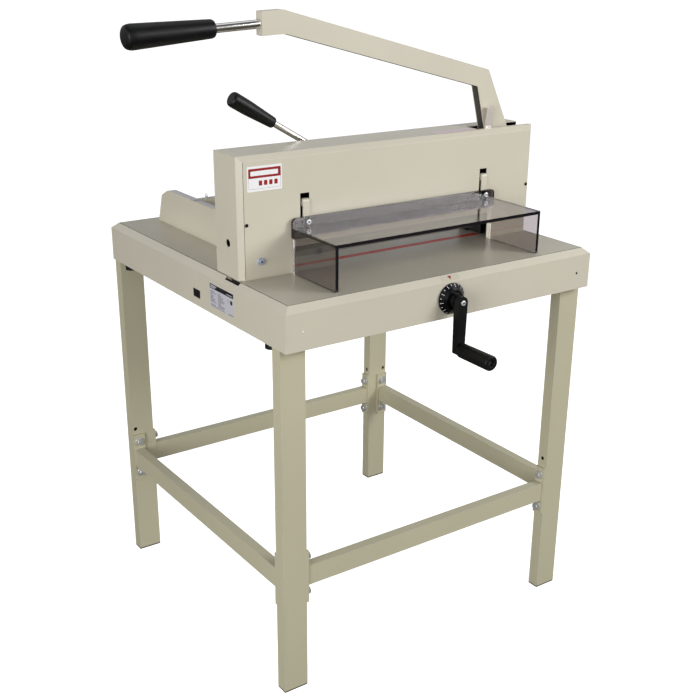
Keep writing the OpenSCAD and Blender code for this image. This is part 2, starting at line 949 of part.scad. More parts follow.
// Shouldered bolts that run in the carrier's slanted slots
module guide_bolts() {
    color(bare_steel) put() for (x = guide_bolts_x) {
        at = [x, guide_bolt_z];
        rod_y(at, [carrier_y - 5, carrier_y - 0.3], 12);
        rod_y(at, [carrier_y - 0.3, upright_y], guide_bolt_r);
        rod_y(at, [upright_y, upright_y + 18], 5);
    }
}

// ---- blade arm ----

arm_outline = [
    [arm_end_x, arm_end_z[0], 1.5],
    [arm_end_x, arm_end_z[1], 1.5],
    [128.1, 1211.4, 8],
    [588.7, 1090.4, 5],
    [642.9, 980.4, 40],
    [675.6, 913.2, 4],
    [645, pivot[1] - hub_r + 4, 4],
    [577, 876, 6],
    [565, 902, 4],
    [597, 934, 14],
    [583.7, 980.3, 40],
    [562.8, 1060, 4],
    [131.4, 1172.2, 8],
];

// The arm is a channel, open along its underside and the inside of its leg
arm_wall = 2;
arm_hollow = [
    [150, 1199.6, 4],
    [583, 1085.4, 4],
    [640, 972, 2],
    [580, 972, 2],
    [556, 1054, 2],
    [150, 1160, 2],
];

module blade_arm() {
    y = [arm_y, arm_y + arm_t];
    color(beige) put() difference() {
        union() {
            slab_y(y) polygon(rounded(arm_outline));
            rod_y(pivot, y, hub_r);
            rod_y(roller, y, lug_r);
        }
        slab_y(grow(y, -arm_wall)) polygon(rounded(arm_hollow));
        rod_y(pivot, [y[0] - 1, y[1] + 1], shaft_r + 0.02);
        rod_y(roller, [y[0] - 1, y[0] + 14], roller_pin_r + 0.02);
        rod_axis() cylinder(h = 60, r = arm_rod_d / 2 + 0.02, center = true);
    }
}

// Places its children on the arm rod's axis, with +Z running out along the rod
module rod_axis() {
    translate([rod_start[0], arm_y + arm_t / 2, rod_start[1]])
        rotate([0, -90 - rod_dip, 0])
            children();
}

module arm_shaft() {
    color(bare_steel) put() {
        rod_y(pivot, [arm_y, portal_y + portal_t + 2.2], shaft_r);
        difference() {
            rod_y(pivot, [portal_y + portal_t + 0.6, portal_y + portal_t + 3], 15);
            rod_y(pivot, [portal_y + portal_t, portal_y + portal_t + 4], shaft_r);
        }
    }
}

// Pin in the arm's lug with a roller on its front end
module drive_roller() {
    color(bare_steel) put() {
        rod_y(roller, [arm_y, arm_y + 14], roller_pin_r);
        rod_y(roller, [carrier_y + 0.6, arm_y - 0.4], roller_r);
        rod_y(roller, [arm_y - 0.4, arm_y], roller_pin_r + 1);
    }
}

module arm_rod() {
    color(chrome) put() rod_axis()
        translate([0, 0, -29.5]) cylinder(h = 29.5 + grip_from + 60, r = arm_rod_d / 2, $fn = fine);
}

module main_grip() {
    big = arm_grip_d / 2;
    small = big * 0.75;
    length = grip_to - grip_from;
    bore = arm_rod_d / 2;
    color(black) put() rod_axis()
        translate([0, 0, grip_from])
            rotate_extrude($fn = fine)
                polygon([
                    [bore, 0],
                    [small - 4, 0],
                    [small - 1.2, 1.2],
                    [small, 4.5],
                    [big, length - 14],
                    [big - 0.6, length - 8],
                    [big - 2.6, length - 3],
                    [big - 6.5, length - 0.6],
                    [big - 10, length],
                    [0, length],
                    [0, 60],
                    [bore, 60],
                ]);
}

// ---- blade ----

// Level slot in which a turning pin of radius r slides; reach is how far it goes left and right
module drive_slot(pin, reach, y, r) {
    play = 0.5;
    middle = pin[1] + 0.1;
    for (dx = reach) rod_y([pin[0] + dx, middle], y, r + play);
    block([pin[0] + reach[0], pin[0] + reach[1]], y, grow([middle, middle], r + play));
}

// A slot along the carrier's line of travel around a fixed bolt at [x, z]
module travel_slot(at, r) {
    along = [sin(cut_lean), cos(cut_lean)];
    ends = [at + along * travel_down, at - along * travel_up];
    y = [carrier_y - 1, carrier_y + carrier_t + 1];
    for (e = ends) rod_y(e, y, r);
    side = [cos(cut_lean), -sin(cut_lean)] * r;
    slab_y(y) polygon([ends[0] + side, ends[1] + side, ends[1] - side, ends[0] - side]);
}

module blade_carrier() {
    y = [carrier_y, carrier_y + carrier_t];
    slot_half = 10.8;
    color(dark_steel) put() difference() {
        slab_y(y) polygon(rounded([
            [48, 796, 3],
            [48, 880, 6],
            [106, 880, 6],
            [114, 853, 6],
            [530, 853, 10],
            [545, 913, 6],
            [607, 913, 8],
            [612, 880, 6],
            [640, 880, 6],
            [640, 796, 3],
            [584, 796, 3],
            [578, 800, 2],
            [118, 800, 2],
            [112, 796, 3],
        ]));
        for (x = guide_bolts_x) travel_slot([x, guide_bolt_z], guide_bolt_r + 0.3);
        drive_slot(roller, [-slot_half, slot_half], grow(y, 1), roller_r);
        for (i = [0:5]) rod_y([150 + i * blade_bolt_pitch, 828], [y[0] - 1, y[1] + 1], 4.1);
    }
}

// Steel knife, ground to an edge on its front
module blade() {
    y = [carrier_y + carrier_t, carrier_y + carrier_t + blade_t];
    color(chrome) put() difference() {
        slab_x(blade_x) polygon([
            [y[0], blade_z[1]],
            [y[1], blade_z[1]],
            [y[1], blade_z[0]],
            [y[1] - 0.3, blade_z[0]],
            [y[0], blade_z[0] + 17],
        ]);
        for (i = [0:5]) rod_y([150 + i * blade_bolt_pitch, 828], [y[0] - 1, y[1] + 1], 4.1);
    }
}

module blade_bolts() {
    color(zinc) put() for (i = [0:5]) {
        at = [150 + i * blade_bolt_pitch, 828];
        hex_y(at, [carrier_y - 5.5, carrier_y], 7);
        rod_y(at, [carrier_y, carrier_y + carrier_t + blade_t - 0.2], 4);
    }
}

// ---- clamp ----

// Pressure bar with its two guide posts and the yoke that the lever's crank pin drives
module clamp_bar() {
    yoke_x = [262, 304];
    yoke_y = [207.5, 220.5];
    color(bare_steel) put() {
        difference() {
            union() {
                block(clamp_x, clamp_y, clamp_z);
                block(yoke_x, yoke_y, [clamp_z[1], clamp_pin[1] + 17]);
            }
            drive_slot(clamp_pin, [-4.4, 1.2], grow(yoke_y, 1), crank_pin_r);
        }
        for (x = post_x) {
            rod_z([x, post_y], [clamp_z[1], post_top], post_r);
            rod_z([x, post_y], [spring_z[1] + 0.2, post_top], post_r + 4);
        }
    }
}

// One coil spring as a swept round wire
module coil(at) {
    per_turn = 12;
    sides = 6;
    n = spring_turns * per_turn;
    rise = spring_z[1] - spring_z[0] - 2 * spring_wire;
    points = [
        for (i = [0:n], k = [0:sides - 1])
            let (
                a = 360 * i / per_turn,
                b = 360 * k / sides,
                r = spring_r + spring_wire * cos(b)
            )
            [
                at[0] + r * cos(a),
                at[1] + r * sin(a),
                spring_z[0] + spring_wire + rise * i / n + spring_wire * sin(b),
            ]
    ];
    skin = [
        for (i = [0:n - 1], k = [0:sides - 1])
            let (p = i * sides + k, q = i * sides + (k + 1) % sides)
            each [[p, p + sides, q], [q, p + sides, q + sides]]
    ];
    first = [for (k = [0:sides - 1]) k];
    last = [for (k = [sides - 1:-1:0]) n * sides + k];
    polyhedron(points = points, faces = concat(skin, [first], [last]));
}

module clamp_springs() {
    color(bare_steel) put() for (x = post_x) coil([x, post_y]);
}

// Lever shaft with its inner crank, crank pin and outer hub
module clamp_shaft() {
    crank_plate_y = [222.2, 231.5];
    hub_y = [262, 288];
    across = unit([clamp_pin[1] - lever_axle[1], lever_axle[0] - clamp_pin[0]]);
    color(bare_steel) put() {
        difference() {
            union() {
                rod_y(lever_axle, [crank_plate_y[0], hub_y[1]], lever_shaft_r);
                rod_y(lever_axle, crank_plate_y, 16);
                rod_y(clamp_pin, crank_plate_y, 13);
                slab_y(crank_plate_y) polygon([
                    lever_axle + across * 16,
                    clamp_pin + across * 13,
                    clamp_pin - across * 13,
                    lever_axle - across * 16,
                ]);
                rod_y(clamp_pin, [208.5, crank_plate_y[0]], crank_pin_r);
                rod_y(lever_axle, hub_y, 18);
            }
            lever_axis() translate([0, 0, 30]) cylinder(h = 44, r = lever_rod_r + 0.02, center = true);
        }
    }
}

// Places its children on the lever rod's axis, with +Z running out to the grip
module lever_axis() {
    translate([lever_axle[0], lever_y, lever_axle[1]])
        rotate([0, -90 + lever_slope, 0])
            children();
}

module clamp_rod() {
    color(chrome) put() lever_axis()
        translate([0, 0, 8.2]) cylinder(h = lever_grip_from + 40 - 8.2, r = lever_rod_r, $fn = fine);
}

module clamp_grip() {
    length = lever_len - lever_grip_from;
    color(black) put() lever_axis()
        translate([0, 0, lever_grip_from])
            rotate_extrude($fn = fine)
                polygon([
                    [lever_rod_r, 0],
                    [8.2, 0],
                    [10, 1.6],
                    [10.3, 4],
                    [13.6, length * 0.62],
                    [14, length - 6],
                    [13.2, length - 2.2],
                    [11, length],
                    [0, length],
                    [0, 40],
                    [lever_rod_r, 40],
                ]);
}

// ---- guard ----

// Clear folding guard: back plate, shelf and two cheeks in one bonded piece
module safety_guard() {
    plate_y = [guard_back - guard_t, guard_back];
    low = table_z + 1;
    flange = rounded([
        [guard_x[0], flange_z[0], 3],
        [guard_x[0], flange_z[1], 8],
        [guard_x[1] + 1.5, flange_z[1], 8],
        [guard_x[1] + 1.5, flange_z[0], 3],
    ]);
    color(smoke) put() difference() {
        union() {
            slab_y(plate_y) polygon(flange);
            block(guard_x, [guard_front, plate_y[0]], [shelf_z - guard_t, shelf_z]);
            for (x = [guard_x[0], guard_x[1] - guard_t])
                block([x, x + guard_t], [guard_front, plate_y[0]], [low, shelf_z - guard_t]);
        }
        for (x = hanger_x, z = guard_screw_z)
            rod_y([x, z], [plate_y[0] - 1, plate_y[1] + 1], 2.6);
    }
}

// Strap behind the guard's back plate, hooked over to an eye on the hinge rod
module hanger(x) {
    front = guard_back;
    edge = guard_pivot[1] + 8;
    profile = rounded([
        [front, 830, 0.8],
        [front, edge, 5],
        [guard_pivot[0], edge, 0.5],
        [guard_pivot[0], guard_pivot[1], 0.5],
        [front + hanger_t, guard_pivot[1], 1],
        [front + hanger_t, 830, 0.8],
    ]);
    difference() {
        union() {
            slab_x([x - hanger_w / 2, x + hanger_w / 2]) polygon(profile);
            rod_x(guard_pivot, [x - hanger_w / 2, x + hanger_w / 2], 6.2);
        }
        rod_x(guard_pivot, [x - hanger_w, x + hanger_w], guard_rod_r + run_gap);
        for (z = guard_screw_z) rod_y([x, z], [front - 1, front + hanger_t + 1], 2.6);
    }
}

module guard_hangers() {
    color(beige) put() for (x = hanger_x) hanger(x);
}

module guard_screws() {
    front = guard_back - guard_t;
    color(zinc) put() for (x = hanger_x, z = guard_screw_z) {
        at = [x, z];
        rod_y(at, [front - 2.6, front], 4.6, 4.9);
        rod_y(at, [front, guard_back + hanger_t - 0.2], 2.5);
    }
}

// Hinge rod behind the front cover with its welded clips
module guard_rod() {
    color(bare_steel) put() {
        rod_x(guard_pivot, [126, 577], guard_rod_r);
        for (x = [128, 160, 348, 540, 571])
            block([x, x + 4], [bridge_y + sheet_t, guard_pivot[0] + 4.5], [884, 894]);
    }
}

// ---- latch ----

// Sprung thumb latch beside the arm's foot, with a pin in a boss and a bent tab
module safety_latch() {
    tab_x = latch_top[0][0] + 2;
    tab_z = latch_top[1][1] - 5;
    color(zinc) put() {
        slab_y(latch_y) polygon(rounded([
            [latch_axle[0] - 8, latch_axle[1] - 8, 7],
            [latch_top[0][0], latch_top[0][1], 1.5],
            [latch_top[1][0], latch_top[1][1], 1.5],
            [latch_axle[0] + 8, latch_axle[1] - 8, 7],
        ]));
        block([tab_x, tab_x + 10], [latch_y[1], arm_y - 0.8], [tab_z, tab_z + 2.8]);
        rod_y(latch_axle, [latch_boss_y[0] + 1, latch_y[0]], latch_pin_r);
    }
}

// Boss on the inside of the front cover that holds the latch's pin
module latch_boss() {
    color(dark_steel) put() difference() {
        rod_y(latch_axle, latch_boss_y, 8);
        rod_y(latch_axle, grow(latch_boss_y, 1), latch_pin_r + run_gap);
    }
}

leg_front_left();
leg_front_right();
leg_rear_left();
leg_rear_right();
leg_end_caps();
front_stretcher();
rear_stretcher();
left_stretcher();
right_stretcher();
stand_bolts();
base_frame();
base_feet();
skirt_front();
skirt_rear();
skirt_left();
skirt_right();
table_plate();
cutting_stick();
skirt_plug();
side_guide();
bushes();
spindle();
dial_hub();
crank_arm();
crank_screw();
grip_pin();
crank_grip();
gauge_carriage();
back_gauge();
gauge_pointer();
front_cover();
top_cover();
left_end_cover();
right_end_cover();
rear_cover();
cover_screws();
lock_screw();
portal_plate();
left_upright();
right_upright();
guide_bolts();
blade_arm();
arm_shaft();
drive_roller();
arm_rod();
main_grip();
blade_carrier();
blade();
blade_bolts();
clamp_bar();
clamp_springs();
clamp_shaft();
clamp_rod();
clamp_grip();
safety_guard();
guard_hangers();
guard_screws();
guard_rod();
safety_latch();
latch_boss();
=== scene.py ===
"""Looks of the stack paper cutter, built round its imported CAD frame. Units are metres."""

import json
import math

import bmesh
import bpy
from mathutils import Matrix, Vector


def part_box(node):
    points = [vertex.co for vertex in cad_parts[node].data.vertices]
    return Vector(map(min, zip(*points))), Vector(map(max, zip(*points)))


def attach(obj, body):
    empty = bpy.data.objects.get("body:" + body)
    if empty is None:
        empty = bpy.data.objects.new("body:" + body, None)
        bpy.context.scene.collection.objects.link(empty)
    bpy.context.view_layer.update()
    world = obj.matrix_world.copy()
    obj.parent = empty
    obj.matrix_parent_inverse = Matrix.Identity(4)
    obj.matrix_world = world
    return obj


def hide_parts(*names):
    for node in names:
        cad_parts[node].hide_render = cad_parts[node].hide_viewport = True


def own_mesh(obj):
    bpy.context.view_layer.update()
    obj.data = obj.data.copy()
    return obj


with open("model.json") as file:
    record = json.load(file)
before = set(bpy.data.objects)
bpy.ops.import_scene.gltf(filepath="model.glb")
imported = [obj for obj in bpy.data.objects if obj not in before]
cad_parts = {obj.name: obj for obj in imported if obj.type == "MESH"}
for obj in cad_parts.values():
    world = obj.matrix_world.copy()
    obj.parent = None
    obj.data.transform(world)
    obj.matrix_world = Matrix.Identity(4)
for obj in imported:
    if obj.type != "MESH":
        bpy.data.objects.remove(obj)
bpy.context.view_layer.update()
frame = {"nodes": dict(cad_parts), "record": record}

MM = 0.001
# The stand: the legs' wall, the thickness of the stretchers' end pads, the side bolts' distance
# from the leg's outer face, the stretchers' height and where the bolts are on stretcher and rail.
TUBE, PAD, SIDE_BOLT = 1.6 * MM, 5 * MM, 13.6 * MM
STRETCHER_Z, BOLT_RISE, RAIL_BOLTS = 236 * MM, 37 * MM, (14 * MM, 36 * MM)
# Places on the machine, in millimetres from the corner that at() counts from.
TABLE_Z, COVER_Y, COVER_TOP_Z = 766, 170, 981.4
COVER_SEAM_X, COVER_SEAM_WIDTH = 24.2, 0.7
BEVEL_RUN, BEVEL_DROP = 12.4, 10.8
CRANK_X, CRANK_Z, CRANK_SCREW_Y = 347.5, 724.5, -35
HANGER_X, GUARD_SCREW_Y, GUARD_SCREW_Z = (148.8, 562.3), 160.5, (835.5, 857)
LOCK_SCREW = (56.2, COVER_Y, 796.5)
SPRING_X, SPRING_Y = (170, 530), 222
# Mesh limits: welding distance, the angle up to which faces count as one flat face, the angle from
# which an edge is sharp, and the cosine from which a face counts as facing a direction.
WELD, FLAT_ANGLE, SHARP_ANGLE, FACING = 0.002 * MM, math.radians(0.4), math.radians(30), 0.98
NODES = frame["nodes"]
BODY_OF = {n: b for b, ns in frame["record"]["behaviour"]["bodies"].items() for n in ns}

# ---------------------------------------------------------------- places, from the frame


def low(node):
    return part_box(node)[0]


def high(node):
    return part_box(node)[1]


def middle(node):
    a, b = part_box(node)
    return (a + b) / 2


CORNER = Vector((low("skirt_left").x, low("skirt_left").y, 0.0))
X, Y, Z = Vector((1, 0, 0)), Vector((0, 1, 0)), Vector((0, 0, 1))


def at(x, y, z):
    """A place in millimetres from the floor under the table's front left corner."""
    return CORNER + Vector((x, y, z)) * MM

# ---------------------------------------------------------------- node helpers


class Graph:
    """A node material in the making: each call adds a node and gives back its first output."""

    def __init__(self, name):
        self.material = bpy.data.materials.new(name)
        self.material.use_nodes = True
        self.tree = self.material.node_tree
        self.shader = self.tree.nodes["Principled BSDF"]
        self.place = self.tree.nodes.new("ShaderNodeTexCoord").outputs["Object"]

    def link(self, value, socket):
        if isinstance(value, bpy.types.NodeSocket):
            self.tree.links.new(value, socket)
        else:
            socket.default_value = value

    def scaled(self, scale):
        node = self.tree.nodes.new("ShaderNodeMapping")
        node.inputs["Scale"].default_value = scale
        self.link(self.place, node.inputs["Vector"])
        return node.outputs["Vector"]

    def noise(self, scale, detail=3.0, roughness=0.55, vector=None, distortion=0.0):
        node = self.tree.nodes.new("ShaderNodeTexNoise")
        node.inputs["Scale"].default_value = scale
        node.inputs["Detail"].default_value = detail
        node.inputs["Roughness"].default_value = roughness
        node.inputs["Distortion"].default_value = distortion
        self.link(vector or self.place, node.inputs["Vector"])
        return node.outputs["Fac"]

    def cells(self, scale, vector=None):
        node = self.tree.nodes.new("ShaderNodeTexVoronoi")
        node.inputs["Scale"].default_value = scale
        self.link(vector or self.place, node.inputs["Vector"])
        return node

    def span(self, value, low_out, high_out, low_in=0.0, high_in=1.0):
        node = self.tree.nodes.new("ShaderNodeMapRange")
        self.link(value, node.inputs["Value"])
        for name, number in (
            ("From Min", low_in), ("From Max", high_in), ("To Min", low_out), ("To Max", high_out),
        ):
            node.inputs[name].default_value = number
        return node.outputs["Result"]

    def mix(self, factor, a, b, mode="MIX"):
        node = self.tree.nodes.new("ShaderNodeMix")
        node.data_type = "RGBA"
        node.blend_type = mode
        self.link(factor, node.inputs["Factor"])
        self.link(a, node.inputs["A"])
        self.link(b, node.inputs["B"])
        return node.outputs["Result"]

    def math(self, how, a, b):
        node = self.tree.nodes.new("ShaderNodeMath")
        node.operation = how
        self.link(a, node.inputs[0])
        self.link(b, node.inputs[1])
        return node.outputs[0]

    def bump(self, height, distance, strength=1.0, under=None):
        node = self.tree.nodes.new("ShaderNodeBump")
        node.inputs["Distance"].default_value = distance
        node.inputs["Strength"].default_value = strength
        self.link(height, node.inputs["Height"])
        if under is not None:
            self.link(under, node.inputs["Normal"])
        return node.outputs["Normal"]

    def set(self, **values):
        for name, value in values.items():
            self.link(value, self.shader.inputs[name.replace("_", " ")])
        return self.material


def srgb(r, g, b):
    """Linear colour, with alpha, of an 8-bit screen colour."""
    return tuple(
        (c / 255 / 12.92) if c / 255 <= 0.04045 else ((c / 255 + 0.055) / 1.055) ** 2.4
        for c in (r, g, b)
    ) + (1.0,)


def tinted(colour, factor):
    return tuple(c * factor for c in colour[:3]) + (1.0,)


# ---------------------------------------------------------------- materials


def powder_coat(name, colour, roughness=0.36, coat=0.12, peel_depth=0.00010):
    """Stoved enamel: fine orange peel, faint cloudiness and a little handling dirt."""
    g = Graph(name)
    cloud = g.noise(3.1, 4.0)
    smear = g.noise(19.0, 5.0, 0.6, g.scaled((1.0, 1.0, 0.35)))
    peel = g.noise(620.0, 2.0, 0.4)
    grain = g.noise(2600.0, 1.0, 0.5)
    body = g.mix(g.span(cloud, 0.0, 1.0, 0.32, 0.68), tinted(colour, 0.965), tinted(colour, 1.025))
    dirty = g.mix(g.span(smear, 0.0, 0.08, 0.58, 0.80), body, tinted(colour, 0.82))
    speck = g.mix(g.span(grain, 0.0, 0.06, 0.60, 0.75), dirty, tinted(colour, 0.72))
    normal = g.bump(grain, 0.00003, 0.35, g.bump(peel, peel_depth, 0.45))
    rough = g.span(smear, roughness - 0.02, roughness + 0.04, 0.35, 0.75)
    return g.set(
        Base_Color=speck, Roughness=rough, Normal=normal, Coat_Weight=coat, Coat_Roughness=0.15
    )


def metal(name, colour, roughness, brushed=None, stain=0.12, peel=0.00004, metallic=1.0):
    """Bare or plated steel. brushed is the scale of the brush marks along each axis."""
    g = Graph(name)
    cloud = g.noise(14.0, 5.0, 0.6)
    fine = g.noise(1.0, 3.0, 0.7, g.scaled(brushed)) if brushed else g.noise(1500.0, 2.0, 0.6)
    tone = g.mix(g.span(cloud, 0.0, 1.0, 0.3, 0.7), tinted(colour, 1 - stain), tinted(colour, 1.0))
    tone = g.mix(g.span(fine, 0.0, 0.22, 0.35, 0.75), tone, tinted(colour, 0.62))
    rough = g.math(
        "ADD", g.span(cloud, -0.02, 0.03, 0.3, 0.7), g.span(fine, roughness, roughness + 0.06)
    )
    return g.set(
        Base_Color=tone, Roughness=rough, Metallic=metallic, Normal=g.bump(fine, peel, 0.5)
    )


def moulded(name, colour, roughness=0.46, grain=0.00010, scale=900.0):
    """Moulded plastic or rubber with a spark-eroded grain."""
    g = Graph(name)
    cloud = g.noise(22.0, 4.0)
    pits = g.cells(scale).outputs["Distance"]
    fine = g.noise(scale * 2.2, 2.0, 0.6)
    tone = g.mix(g.span(cloud, 0.0, 1.0, 0.3, 0.7), tinted(colour, 0.82), tinted(colour, 1.18))
    normal = g.bump(fine, grain * 0.4, 0.4, g.bump(pits, grain, 0.45))
    rough = g.span(cloud, roughness - 0.05, roughness + 0.08, 0.3, 0.7)
    return g.set(Base_Color=tone, Roughness=rough, Normal=normal, Specular_IOR_Level=0.32)


def smoke_acrylic(name, thin, thick, clear=1.0, roughness=0.0):
    """Cast acrylic with a smoke tint that is slightly uneven."""
    g = Graph(name)
    cloud = g.noise(2.2, 3.0)
    tint = g.mix(g.span(cloud, 0.0, 1.0, 0.3, 0.7), thick, thin)
    return g.set(Base_Color=tint, Roughness=roughness, Transmission_Weight=clear, IOR=1.49)


def ink(name, colour, roughness=0.5):
    """Screen print or coloured vinyl, with a slight mottle."""
    g = Graph(name)
    mottle = g.noise(420.0, 3.0, 0.6)
    tone = g.mix(g.span(mottle, 0.0, 1.0, 0.35, 0.65), tinted(colour, 0.965), tinted(colour, 1.0))
    rough = g.span(mottle, roughness - 0.05, roughness + 0.05, 0.3, 0.7)
    return g.set(Base_Color=tone, Roughness=rough, Normal=g.bump(mottle, 0.00001, 0.3))


beige_paint = powder_coat("beige_powder_coat", srgb(217, 211, 192))
table_paint = powder_coat("table_enamel", srgb(203, 197, 179), 0.36, 0.0, 0.00002)
leg_paint = powder_coat("stand_powder_coat", srgb(204, 199, 170), 0.42)
# Painted shade: a near-black coat for the faces inside the covers and for the strips in the seams,
# where the shade falls.
painted_shade_coat = powder_coat("painted_shade_dark_coat", srgb(30, 29, 27), 0.6, 0.0)
# Painted shade: a grey coat for the faces inside the blade arm's open channel, where the shade
# falls.
arm_painted_shade = powder_coat("arm_channel_painted_shade", srgb(120, 118, 110), 0.6, 0.0)
black_plastic = moulded("black_grip_plastic", srgb(9, 9, 10), 0.42)
dial_plastic = moulded("black_dial_plastic", srgb(8, 8, 10), 0.28, 0.00003)
black_rubber = moulded("black_rubber", srgb(12, 12, 12), 0.62, 0.00014, 600.0)
chrome = metal("chrome", (0.80, 0.78, 0.74, 1), 0.05, None, 0.03, 0.0)
zinc = metal("zinc_plate", (0.78, 0.79, 0.78, 1), 0.34, None, 0.12, metallic=0.6)
bright_zinc = metal("bright_zinc", (0.93, 0.93, 0.94, 1), 0.26, None, 0.05, metallic=0.6)
blue_zinc = metal("blue_zinc", (0.66, 0.73, 0.92, 1), 0.22, None, 0.15, metallic=0.7)
latch_steel = metal("plated_latch_steel", (0.93, 0.87, 0.80, 1), 0.34, (60, 900, 120), 0.06)
bare_steel = metal("ground_steel", (0.56, 0.57, 0.58, 1), 0.26, (30, 1400, 1400), 0.15)
dark_steel = metal("oiled_steel", (0.10, 0.10, 0.105, 1), 0.42, (60, 900, 900), 0.25, 0.00008)
blade_steel = metal("blade_steel", (0.66, 0.67, 0.69, 1), 0.18, (20, 900, 1800), 0.08)
spring_steel = metal("spring_steel", (0.34, 0.34, 0.36, 1), 0.30, None, 0.2)
bronze = metal("bronze", (0.72, 0.50, 0.25, 1), 0.30, (900, 900, 60), 0.2)
acrylic = smoke_acrylic("smoke_acrylic", srgb(187, 180, 181), srgb(181, 174, 176))
# Painted shade: a darker copy of the smoke tint for the guard's flange, which is the same sheet as
# the shelf.
acrylic_flange_painted_shade = smoke_acrylic("smoke_acrylic_painted_shade_flange", srgb(130, 121, 122), srgb(124, 115, 117))
acrylic_edge = smoke_acrylic("smoke_acrylic_edge", srgb(30, 26, 31), srgb(20, 18, 22), 0.0, 0.12)
red_pvc = moulded("red_cutting_stick", srgb(226, 62, 40), 0.42, 0.00006, 500.0)
white_vinyl = ink("white_vinyl", srgb(255, 255, 255))
lilac_foil = ink("lilac_foil", srgb(210, 208, 215), 0.4)
pale_sticker = ink("pale_clear_sticker", srgb(209, 203, 184), 0.3)
pink_foil = ink("pinkish_foil", srgb(240, 224, 224), 0.5)
red_ink = ink("red_ink", srgb(158, 18, 20))
# Black print, also used as painted shade at the bottom of the screws' hexagon sockets.
black_ink_and_socket_shade = ink("black_ink_and_socket_shade", srgb(24, 24, 28))
grey_ink = ink("grey_ink", srgb(120, 118, 128))

FINISH = {
    "beige_paint": beige_paint, "leg_paint": leg_paint, "bare_steel": bare_steel,
    "dark_steel": dark_steel, "zinc": zinc, "chrome": chrome, "black_plastic": black_plastic,
    "black_rubber": black_rubber, "red_plastic": red_pvc, "smoke_acrylic": acrylic, "brass": bronze,
}
SLOT_OF = {p["node"]: p["material_slot"] for p in frame["record"]["subparts"]}
SPECIAL = {
    "blade": blade_steel, "clamp_springs": spring_steel, "table_plate": table_paint,
    "dial_hub": dial_plastic, "safety_latch": latch_steel,
}


def finish_of(node):
    return SPECIAL.get(node, FINISH[SLOT_OF[node]])


for name, node_object in NODES.items():
    node_object.data.materials.clear()
    node_object.data.materials.append(finish_of(name))

# ---------------------------------------------------------------- camera, light and floor

CEILING = (0.11, 0.115, 0.13)
WALL = (0.62, 0.62, 0.63)
FLOOR_BOUNCE = (0.085, 0.080, 0.072)
FLOOR_GLOW = 0.85


def camera():
    """Stands to the front left of the machine and looks down on it, with a slightly long lens."""
    data = bpy.data.cameras.new("camera")
    data.sensor_width = 36.0
    data.lens = 57.03
    data.shift_x = -0.0237
    data.shift_y = 0.0370
    heading, dip, tilt = math.radians(35.840), math.radians(21.729), math.radians(0.847)
    ahead = Vector((
        math.sin(heading) * math.cos(dip), math.cos(heading) * math.cos(dip), -math.sin(dip),
    ))
    right = Vector((math.cos(heading), -math.sin(heading), 0.0))
    up = right.cross(ahead)
    right, up = (
        math.cos(tilt) * right + math.sin(tilt) * up,
        math.cos(tilt) * up - math.sin(tilt) * right,
    )
    turn = Matrix((right, up, -ahead)).transposed().to_4x4()
    turn.translation = at(-886.8, -1454.7, 1329.8)
    eye = bpy.data.objects.new("camera", data)
    eye.matrix_world = turn
    bpy.context.scene.collection.objects.link(eye)
    bpy.context.scene.camera = eye


def area_light(name, place, aim, size, power, colour=(1.0, 1.0, 1.0)):
    data = bpy.data.lights.new(name, "AREA")
    data.shape = "RECTANGLE"
    data.size, data.size_y = size
    data.energy = power
    data.color = colour
    lamp = bpy.data.objects.new(name, data)
    lamp.location = place
    lamp.rotation_euler = (Vector(aim) - Vector(place)).to_track_quat("-Z", "Y").to_euler()
    bpy.context.scene.collection.objects.link(lamp)


def room():
    """Pale walls at eye level, darker ceiling and floor, for the bright metal to mirror."""
    world = bpy.data.worlds.new("studio")
    world.use_nodes = True
    tree = world.node_tree
    direction = tree.nodes.new("ShaderNodeTexCoord").outputs["Generated"]
    parts = tree.nodes.new("ShaderNodeSeparateXYZ")
    tree.links.new(direction, parts.inputs[0])
    lift = tree.nodes.new("ShaderNodeMapRange")
    lift.inputs["From Min"].default_value = -1.0
    tree.links.new(parts.outputs["Z"], lift.inputs["Value"])
    ramp = tree.nodes.new("ShaderNodeValToRGB")
    elements = ramp.color_ramp.elements
    elements[0].color = (*FLOOR_BOUNCE, 1)
    elements[1].color = (*CEILING, 1)
    for position, tone in ((0.44, FLOOR_BOUNCE), (0.52, WALL), (0.70, WALL), (0.84, CEILING)):
        elements.new(position).color = (*tone, 1)
    tree.links.new(lift.outputs["Result"], ramp.inputs["Fac"])
    tree.links.new(ramp.outputs["Color"], tree.nodes["Background"].inputs["Color"])
    bpy.context.scene.world = world


def pale_floor():
    """A floor that glows a little, so that it stays near white round the machine's shadow."""
    bm = bmesh.new()
    reach = 40.0
    bmesh.ops.create_grid(bm, x_segments=2, y_segments=2, size=reach)
    mesh = bpy.data.meshes.new("floor")
    bm.to_mesh(mesh)
    bm.free()
    g = Graph("pale_floor")
    tone = g.mix(g.noise(0.8, 2.0), (0.86, 0.86, 0.86, 1), (0.88, 0.88, 0.88, 1))
    g.set(Base_Color=tone, Roughness=0.8, Emission_Color=(1, 1, 1, 1), Emission_Strength=FLOOR_GLOW)
    mesh.materials.append(g.material)
    floor = bpy.data.objects.new("floor", mesh)
    floor.visible_diffuse = False
    floor.visible_glossy = False
    bpy.context.scene.collection.objects.link(floor)


def studio():
    bpy.context.scene.view_settings.view_transform = "Standard"
    room()
    pale_floor()
    aim = middle("table_plate")
    area_light("key", (1.9, -2.2, 2.0), aim, (1.4, 1.2), 50)
    area_light("fill", (-2.8, -1.5, 1.15), aim, (1.6, 1.6), 52)
    area_light("top", (0.4, 0.6, 3.6), aim, (2.0, 2.0), 10)


camera()
studio()

# ---------------------------------------------------------------- mesh helpers


